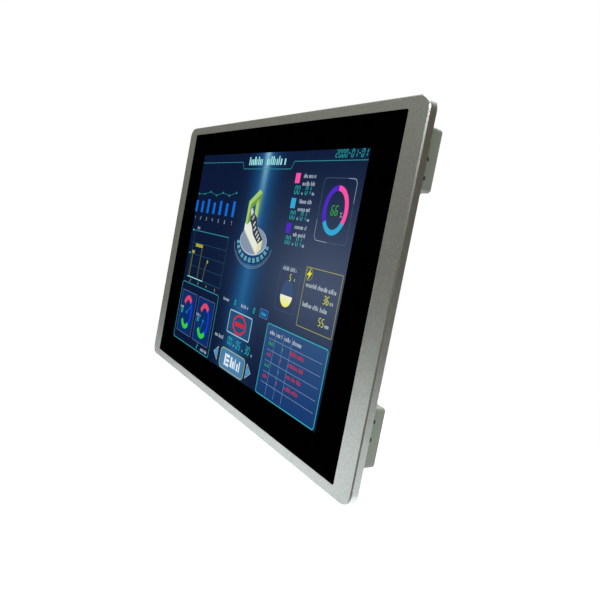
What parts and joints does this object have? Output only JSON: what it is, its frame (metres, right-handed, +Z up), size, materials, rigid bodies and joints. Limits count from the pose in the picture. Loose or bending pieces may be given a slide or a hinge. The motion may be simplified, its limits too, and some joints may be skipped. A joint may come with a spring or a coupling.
{
  "type": "hmi touch panel",
  "caption": "Flush-mounting operator panel with a 4:3 touch display, chamfered metal bezel, slotted clamp lugs and a rear box with sockets along its lower edge and a hinged service door.",
  "frame": {"origin": "middle of the seat plane, where the bezel's rear meets the cabinet's sheet", "axes": "+X to the right of someone facing the picture, +Y into the cabinet, +Z up"},
  "size_m": [0.412, 0.0582, 0.3],
  "materials": {
    "bezel_aluminium": "fine blast, polished chamfer",
    "gasket_rubber": "closed-cell seal",
    "cover_glass": "coated, black printed border",
    "black_tape": "acrylic foam tape",
    "sensor_glass": "clear laminate",
    "black_foam": "open-cell foam",
    "module_steel": "folded sheet",
    "lcd_cell": "polarised cell",
    "acrylic_guide": "clear acrylic",
    "module_plastic": "moulded white",
    "zinc_sheet": "zinc-plated sheet",
    "zinc_screw": "zinc-plated",
    "brass_post": "turned",
    "brass_nut": "turned",
    "cast_housing": "cast, matt",
    "green_board": "glass-epoxy with solder mask",
    "amber_film": "polyimide film",
    "white_ribbon": "flat cable",
    "chip_black": "moulded epoxy",
    "grey_pad": "silicone pad",
    "heat_sink_aluminium": "extruded, black anodised",
    "ferrite_grey": "ferrite and sleeved can",
    "black_plastic": "moulded",
    "white_plastic": "moulded",
    "cell_steel": "stamped",
    "socket_shell": "nickel-plated shell",
    "gold_contact": "gold-flashed contacts",
    "nickel_post": "nickel-plated",
    "green_plastic": "moulded polyamide",
    "button_plastic": "moulded",
    "red_plastic": "moulded"
  },
  "bodies": {
    "panel": {"front_bezel": "bezel_aluminium", "panel_gasket": "gasket_rubber", "cover_glass": "cover_glass", "glass_tape": "black_tape", "touch_sensor": "sensor_glass", "foam_frame": "black_foam", "module_frame": "module_steel", "lcd_cell": "lcd_cell", "light_guide": "acrylic_guide", "module_tray": "module_plastic", "module_brackets": "zinc_sheet", "module_screws": "zinc_screw", "bezel_posts": "brass_post", "housing_screws": "zinc_screw", "rear_housing": "cast_housing", "earth_stud": "zinc_screw", "earth_nut": "brass_nut", "earth_washer": "zinc_screw", "touch_controller": "green_board", "touch_tail": "amber_film", "lcd_cable": "white_ribbon", "board_standoffs": "brass_post", "board_screws": "zinc_screw", "main_board": "green_board", "processor": "chip_black", "thermal_pad": "grey_pad", "heat_sink": "heat_sink_aluminium", "memory_chips": "chip_black", "power_coils": "ferrite_grey", "buzzer": "black_plastic", "battery_holder": "white_plastic", "coin_cell": "cell_steel", "card_socket": "socket_shell", "ethernet_sockets": "socket_shell", "ethernet_contacts": "gold_contact", "usb_sockets": "socket_shell", "usb_inserts": "white_plastic", "usb_device_socket": "socket_shell", "serial_ports": "socket_shell", "serial_inserts": "black_plastic", "serial_pins": "gold_contact", "serial_screwlocks": "nickel_post", "power_header": "green_plastic", "header_pins": "nickel_post", "reset_switch": "black_plastic", "switch_block": "red_plastic", "rear_cover": "zinc_sheet", "vesa_nuts": "zinc_screw", "cover_screws": "zinc_screw", "hinge_pin": "zinc_screw"},
    "reset_button": {"reset_button": "button_plastic"},
    "switch_lever_1": {"switch_lever_1": "white_plastic"},
    "switch_lever_2": {"switch_lever_2": "white_plastic"},
    "power_plug": {"power_plug": "green_plastic", "plug_screws": "zinc_screw"},
    "memory_card": {"memory_card": "black_plastic"},
    "service_door": {"service_door": "zinc_sheet"}
  },
  "joints": [
    {"name": "reset_press", "type": "slide", "parent": "panel", "child": "reset_button", "axis": [0, 0, 1], "range_m": [0, 0.0006], "stiffness_N_per_m": 900, "springref_m": -0.0004},
    {"name": "lever_1_slide", "type": "slide", "parent": "panel", "child": "switch_lever_1", "axis": [0, 1, 0], "range_m": [0, 0.0016]},
    {"name": "lever_2_slide", "type": "slide", "parent": "panel", "child": "switch_lever_2", "axis": [0, 1, 0], "range_m": [0, 0.0016]},
    {"name": "power_plug_pull", "type": "slide", "parent": "panel", "child": "power_plug", "axis": [0, 0, -1], "range_m": [0, 0.012]},
    {"name": "card_pull", "type": "slide", "parent": "panel", "child": "memory_card", "axis": [0, 0, -1], "range_m": [0, 0.019]},
    {"name": "service_door_hinge", "type": "hinge", "parent": "panel", "child": "service_door", "pos_m": [0.084, 0.04845, 0.0623], "axis": [1, 0, 0], "range_deg": [0, 110]}
  ]
}
